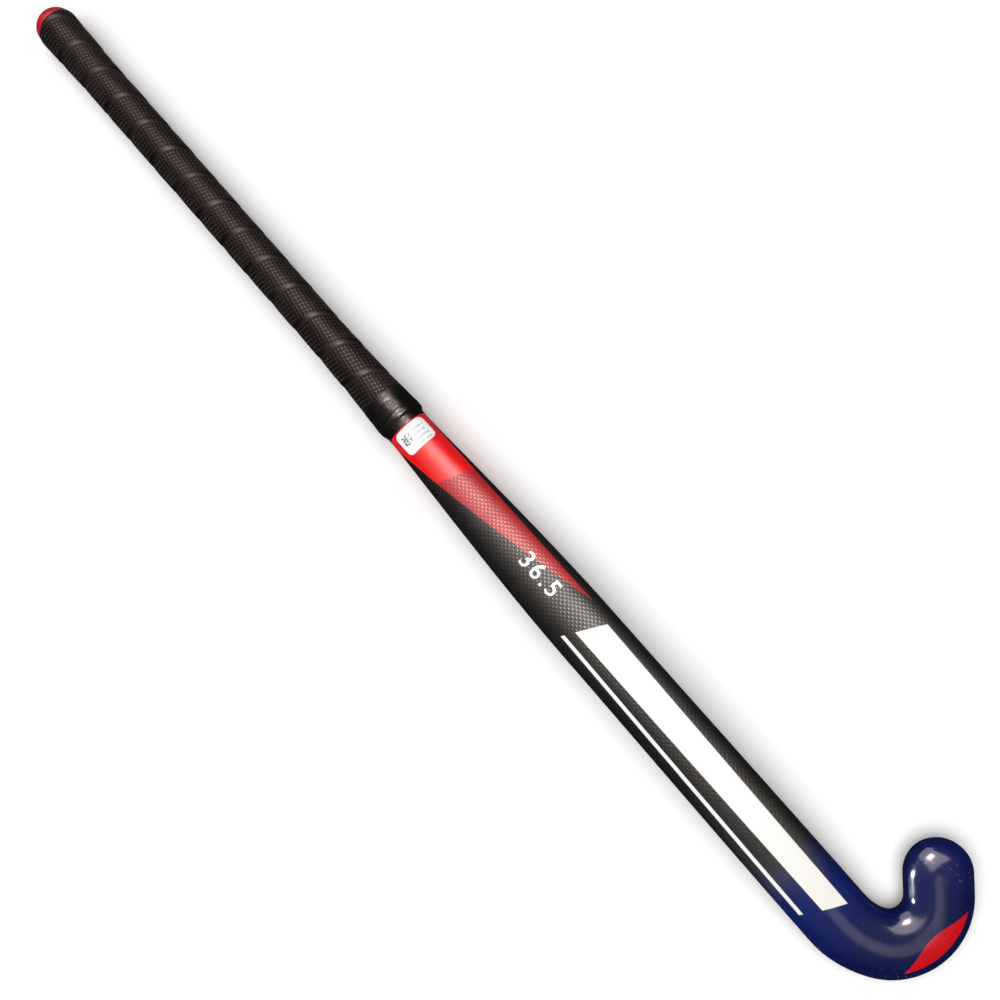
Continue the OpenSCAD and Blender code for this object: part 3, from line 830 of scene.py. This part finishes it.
def build_grip(material):
    """The grip as it's wound: a net whose rows follow the tape, so each turn's edge is a row."""
    step = GRIP_PITCH / GRIP_ROWS
    length = FINISH_START + GRIP_COVERED - GRIP_START
    columns = np.arange(GRIP_SIDES)
    lag = columns * GRIP_ROWS / GRIP_SIDES
    lowest = np.floor(lag).astype(int)
    highest = np.ceil(length / step + lag).astype(int)
    rows = highest.max() + 2
    i, j = np.meshgrid(np.arange(rows), columns, indexing="ij")
    held = np.clip(i, lowest, highest)
    s = GRIP_START + np.clip(held - lag, 0, length / step) * step

    # The shell's section under each point of the net.
    stations = np.linspace(GRIP_START, GRIP_START + length, GRIP_STATIONS)
    bare, girth = profiles(size_at(stations), GRIP_SIDES)

    def on_net(values):
        places = [s[:, min(k, GRIP_SIDES - 1)] for k in range(values.shape[1])]
        return np.stack([np.interp(place, stations, values[:, k]) for k, place in enumerate(places)], 1)

    y, z, from_top = on_net(bare[..., 0]), on_net(bare[..., 1]), on_net(girth)

    # The seam moves towards the butt as a row goes from the toe side over the back.
    first = int(round((GRIP_FIRST_SEAM - GRIP_START) / step + GRIP_ROWS / 4))
    across = ((i - first) % GRIP_ROWS) * step
    lift = grip_lift(s, j * 2 * math.pi / GRIP_SIDES, across, from_top[:, :-1])
    grow = 1 + lift / np.hypot(y, z)
    outer = np.stack([s, y * grow, z * grow], -1).reshape(-1, 3)

    # Rows that stop at an end of the grip share its ring of points, and the inside follows the shell.
    used, ids = np.unique((held * GRIP_SIDES + j).ravel(), return_index=True, return_inverse=True)[1:]
    ids = ids.reshape(rows, GRIP_SIDES)
    inside = np.linspace(0, GRIP_STATIONS - 1, GRIP_INNER_RINGS).astype(int)
    inner = straight_rings(stations[inside], bare[inside])
    faces, corners = grip_faces(ids, first, step, from_top)
    closing = grip_closing(ids[lowest, columns], ids[highest, columns], len(used))
    corners = np.concatenate([corners, np.zeros((4 * len(closing), 2))])
    plan = np.concatenate([outer[used], inner.reshape(-1, 3)])
    return make_piece("grip_winding", world(plan), faces + closing, corners, "grip_tape",
                      material, plan)


def sleeve(name, replaces, s, outer, inner, girth, inner_girth, material):
    """A closed band of tape from its outside rings and the two rings of its inside."""
    straight = np.concatenate([outer, inner, outer[:1]])
    along = np.concatenate([s, s[[-1, 0, 0]]])
    girth = np.concatenate([girth, inner_girth, girth[:1]])
    return ring_piece(name, straight, along, girth, replaces, material)


def crease_height(past, around, crease):
    """Height of a soft line that goes round the tape."""
    place, height, width, slant, waves, phase = crease
    return height * np.exp(-((past - place + slant * np.sin(around * waves + phase)) / width) ** 2)


def build_finish(material):
    """The finishing tape: three overlapping, slightly slanted turns with creases, turned down at its end."""
    rise = np.linspace(FINISH_START - FINISH_LEAD, FINISH_START + FINISH_LEAD, 6)[:-1]
    s = np.concatenate([rise, np.linspace(FINISH_START + FINISH_LEAD, FINISH_END, 74)])
    points, girth = profiles(size_at(s), TAPE_SIDES)
    around = np.linspace(0, 2 * math.pi, TAPE_SIDES, endpoint=False)[None, :]
    past = s[:, None] - FINISH_START
    turn = ((past + FINISH_SLANT * np.sin(around)) / FINISH_TURN) % 1.0
    steps = FINISH_STEP * turn * ease((1 - turn) / 0.08)
    crease = crease_height(past, around, RIDGE) - crease_height(past, around, GROOVE)
    wrinkle = FINISH_WRINKLE * np.sin(past * WRINKLE_WAVE + 5 * np.sin(around * 2)) * np.sin(around * 3 + 1)
    drop = FINISH_DROP + FINISH_DROP_SLANT * np.cos(around - math.pi)
    turned = ease((past - (FINISH_END - FINISH_START) + drop) / drop)
    lift = mix(GRIP_THICKNESS + steps + crease + wrinkle, FINISH_EDGE, turned)
    rolled = np.sqrt(np.clip(1 - (1 - (past + FINISH_LEAD) / FINISH_ROLL).clip(0, 1) ** 2, 0, 1))
    lift = lift * mix(0.80, 1.0, rolled) + FINISH_PROUD * (1 - turned)
    out = np.linalg.norm(points, axis=2, keepdims=True)
    outer = straight_rings(s, points * (1 + lift[..., None] / out))
    inner = straight_rings(s[[-1, 0]], points[[-1, 0]])
    return sleeve("finishing_band", "finishing_tape", s, outer, inner, girth, girth[[-1, 0]], material)


def build_collar(material):
    """The thin trim band: a sleeve with softened edges."""
    length = COLLAR_END - FINISH_END
    s = FINISH_END + length * np.array([0.0, 0.04, 0.2, 0.5, 0.8, 0.93, 1.0])
    by = COLLAR_THICKNESS * np.array([1.0, 1.0, 1.0, 1.0, 1.0, 0.8, 0.35])
    outer, girth = body_rings(s, by, TAPE_SIDES)
    inner, inner_girth = body_rings(s[[-1, 0]], 0.0, TAPE_SIDES)
    return sleeve("collar_band", "collar_tape", s, outer, inner, girth, inner_girth, material)


def back_height_at(x, y):
    """Height of the shaft's back over its widest line."""
    size = size_at(x)
    power = mix(OVAL_POWER, BACK_POWER, size[..., 4])
    share = np.clip(np.abs(y) / size[..., 0], 0, 1)
    return size[..., 1] * (1 - share ** power) ** (1 / power)


def on_back(x, y, proud):
    """Points on the shaft's back, in straight-stick places, a little proud of it."""
    return np.stack([x, y, back_height_at(x, y) + proud], -1)


def plate_faces(rows, columns):
    """A grid's top faces, the matching ones of its underside, and the rim between them."""
    n = rows * columns
    faces = []
    for i in range(rows - 1):
        for j in range(columns - 1):
            a = i * columns + j
            faces.append([a, a + columns, a + columns + 1, a + 1])
            faces.append([n + a, n + a + 1, n + a + columns + 1, n + a + columns])
    rim = list(range(columns)) + [columns * (i + 1) - 1 for i in range(1, rows)]
    rim += [columns * (rows - 1) + j for j in range(columns - 2, -1, -1)]
    rim += [columns * i for i in range(rows - 2, 0, -1)]
    for a, b in zip(rim, rim[1:] + rim[:1]):
        faces.append([a, b, n + b, n + a])
    return faces


def build_label(material):
    """The sticker: a thin bent plate with round corners, set a little askew as a hand puts it on."""
    half = np.array([LABEL_LENGTH, LABEL_WIDTH]) / 2
    u = np.sin(np.linspace(-math.pi / 2, math.pi / 2, LABEL_ROWS))[:, None] * half[0]
    cut = np.maximum(0, np.abs(u) - (half[0] - LABEL_CORNER))
    reach = half[1] - LABEL_CORNER + np.sqrt(np.maximum(0, LABEL_CORNER ** 2 - cut ** 2))
    v = np.linspace(-1, 1, LABEL_ROWS)[None, :] * reach
    u = np.broadcast_to(u, v.shape)
    x = LABEL_START + half[0] + u * math.cos(LABEL_ASKEW) - v * math.sin(LABEL_ASKEW)
    y = LABEL_ASIDE + u * math.sin(LABEL_ASKEW) + v * math.cos(LABEL_ASKEW)
    edge = np.minimum(1 - np.abs(u) / half[0], 1 - np.abs(v) / reach)
    top = on_back(x, y, LABEL_TOP + LABEL_SOFT * ease(edge / 0.02))
    low = on_back(x, y, LABEL_LOW)
    straight = np.concatenate([top.reshape(-1, 3), low.reshape(-1, 3)])
    faces = plate_faces(LABEL_ROWS, LABEL_ROWS)
    return make_piece("label_sticker", world(straight), faces, None, "size_label",
                      material, straight)


def mark_mesh():
    """The mark's flat letters as points and small triangles, fine enough to bend over the back."""
    curve = bpy.data.curves.new("mark_text", "FONT")
    curve.body = MARK_TEXT
    curve.size = MARK_SIZE
    curve.space_character = MARK_SPACING
    curve.offset = MARK_FATTEN
    curve.extrude = MARK_THICKNESS
    holder = bpy.data.objects.new("mark_text", curve)
    bpy.context.scene.collection.objects.link(holder)
    bpy.context.view_layer.update()
    flat = bpy.data.meshes.new_from_object(holder.evaluated_get(bpy.context.evaluated_depsgraph_get()))
    bpy.data.objects.remove(holder)
    bm = bmesh.new()
    bm.from_mesh(flat)
    bmesh.ops.remove_doubles(bm, verts=bm.verts, dist=1e-7)
    bmesh.ops.triangulate(bm, faces=bm.faces)
    for _ in range(3):
        long_edges = [e for e in bm.edges if e.calc_length() > MARK_EDGE]
        if long_edges:
            bmesh.ops.subdivide_edges(bm, edges=long_edges, cuts=1)
            bmesh.ops.triangulate(bm, faces=bm.faces)
    points = np.array([v.co for v in bm.verts])
    faces = [[v.index for v in f.verts] for f in bm.faces]
    bm.free()
    bpy.data.meshes.remove(flat)
    return points, faces


def build_mark(material):
    """The stick's length in inches as a generic size mark, printed along the back."""
    points, faces = mark_mesh()
    x = MARK_START + points[:, 0] - points[:, 0].min()
    y = MARK_MIDDLE + points[:, 1] - (points[:, 1].max() + points[:, 1].min()) / 2
    straight = on_back(x, y, MARK_GAP + points[:, 2])
    piece = make_piece("size_mark", world(straight), faces, None, None,
                       material, straight)
    piece.data.polygons.foreach_set("use_smooth", np.zeros(len(piece.data.polygons), bool))


def dress(names, material):
    """Gives CAD nodes that stay as they are their material."""
    for name in names:
        mesh = frame["nodes"][name].data
        mesh.materials.clear()
        mesh.materials.append(material)


# ---------------------------------------------------------------- floor, light and camera


def build_floor():
    """A pale floor that reflections don't show."""
    m = Nodes("pale_floor")
    grain = m.noise(30.0, 3.0)
    m.feed("Base Color", m.blend(grain, FLOOR_PALE, FLOOR_LIGHT))
    m.feed("Roughness", m.ramp(grain, 0.3, 0.7, 0.85, 0.95))
    m.set(Specular_IOR_Level=0.1)
    mesh = bpy.data.meshes.new("floor")
    ways = ((-1, -1), (1, -1), (1, 1), (-1, 1))
    mesh.from_pydata([(u * FLOOR_REACH, v * FLOOR_REACH, 0) for u, v in ways], [], [(0, 1, 2, 3)])
    mesh.materials.append(m.material)
    floor = bpy.data.objects.new("floor", mesh)
    bpy.context.scene.collection.objects.link(floor)
    floor.visible_glossy = False


def gloss_box(name, place, target, size, watts, tint):
    """A rectangular light that only reflections show."""
    light = bpy.data.lights.new(name, "AREA")
    light.shape = "RECTANGLE"
    light.size, light.size_y = size
    light.energy = watts
    light.color = tint
    lamp = bpy.data.objects.new(name, light)
    lamp.location = place
    lamp.rotation_euler = (Vector(place) - Vector(target)).to_track_quat("Z", "Y").to_euler()
    lamp.visible_diffuse = False
    bpy.context.scene.collection.objects.link(lamp)
    return lamp


def build_sky():
    """A dim room with a bright ceiling; the backdrop that the camera itself sees is plain and pale."""
    sky = bpy.data.worlds.new("studio")
    sky.use_nodes = True
    tree = sky.node_tree
    tree.nodes.clear()
    coordinate = tree.nodes.new("ShaderNodeTexCoord")
    parts = tree.nodes.new("ShaderNodeSeparateXYZ")
    tree.links.new(coordinate.outputs["Generated"], parts.inputs[0])
    rise = tree.nodes.new("ShaderNodeMapRange")
    rise.interpolation_type = "SMOOTHSTEP"
    for socket, value in zip(list(rise.inputs)[1:], (HORIZON, 1.0, WALL_LIGHT, CEILING_LIGHT)):
        socket.default_value = value
    tree.links.new(parts.outputs[2], rise.inputs[0])
    room = tree.nodes.new("ShaderNodeBackground")
    tree.links.new(rise.outputs[0], room.inputs["Strength"])
    backdrop = tree.nodes.new("ShaderNodeBackground")
    backdrop.inputs["Color"].default_value = colour(1.0, 1.0, 1.0)
    path = tree.nodes.new("ShaderNodeLightPath")
    blend = tree.nodes.new("ShaderNodeMixShader")
    tree.links.new(path.outputs["Is Camera Ray"], blend.inputs[0])
    tree.links.new(room.outputs[0], blend.inputs[1])
    tree.links.new(backdrop.outputs[0], blend.inputs[2])
    output = tree.nodes.new("ShaderNodeOutputWorld")
    tree.links.new(blend.outputs[0], output.inputs["Surface"])
    bpy.context.scene.world = sky


def build_lights():
    """Even light from above, and boxes that only show as reflections."""
    build_sky()
    sun = bpy.data.lights.new("soft_fill", "SUN")
    sun.energy = SUN_STRENGTH
    sun.angle = SUN_SPREAD
    fill = bpy.data.objects.new("soft_fill", sun)
    fill.rotation_euler = SUN_LEAN
    fill.visible_glossy = False
    bpy.context.scene.collection.objects.link(fill)
    boxes = {name: gloss_box(name, *values) for name, values in GLOSS_BOXES.items()}
    boxes["head_lamp"].data.spread = LAMP_SPREAD
    bpy.context.scene.view_settings.view_transform = "Standard"
    bpy.context.scene.view_settings.look = "None"


def build_camera():
    """The camera, with the stick across the picture."""
    back = (CAMERA_PLACE - CAMERA_TARGET).normalized()
    along = (Vector((1, 0, 0)) - back * back.x).normalized()
    across = back.cross(along)
    right = along * math.cos(CAMERA_SLOPE) + across * math.sin(CAMERA_SLOPE)
    up = back.cross(right)
    camera = bpy.data.cameras.new("camera")
    camera.lens = CAMERA_LENS
    camera.sensor_width = 36.0
    camera.clip_start = 0.01
    holder = bpy.data.objects.new("camera", camera)
    rows = [(right[k], up[k], back[k], CAMERA_PLACE[k]) for k in range(3)]
    holder.matrix_world = Matrix(rows + [(0, 0, 0, 1)])
    bpy.context.scene.collection.objects.link(holder)
    bpy.context.scene.camera = holder


def plain(bounds):
    return [[float(v) for v in corner] for corner in bounds]


build_shell(laminate_material())
build_cap(cap_material())
build_grip(grip_material())
tape = tape_material()
build_finish(tape)
build_collar(tape)
build_label(label_material())
build_mark(mark_material())
dress(("heel_side_tube", "toe_side_tube"), braid_material())
dress(("head_core", "butt_plug"), foam_material())
build_floor()
build_lights()
build_camera()
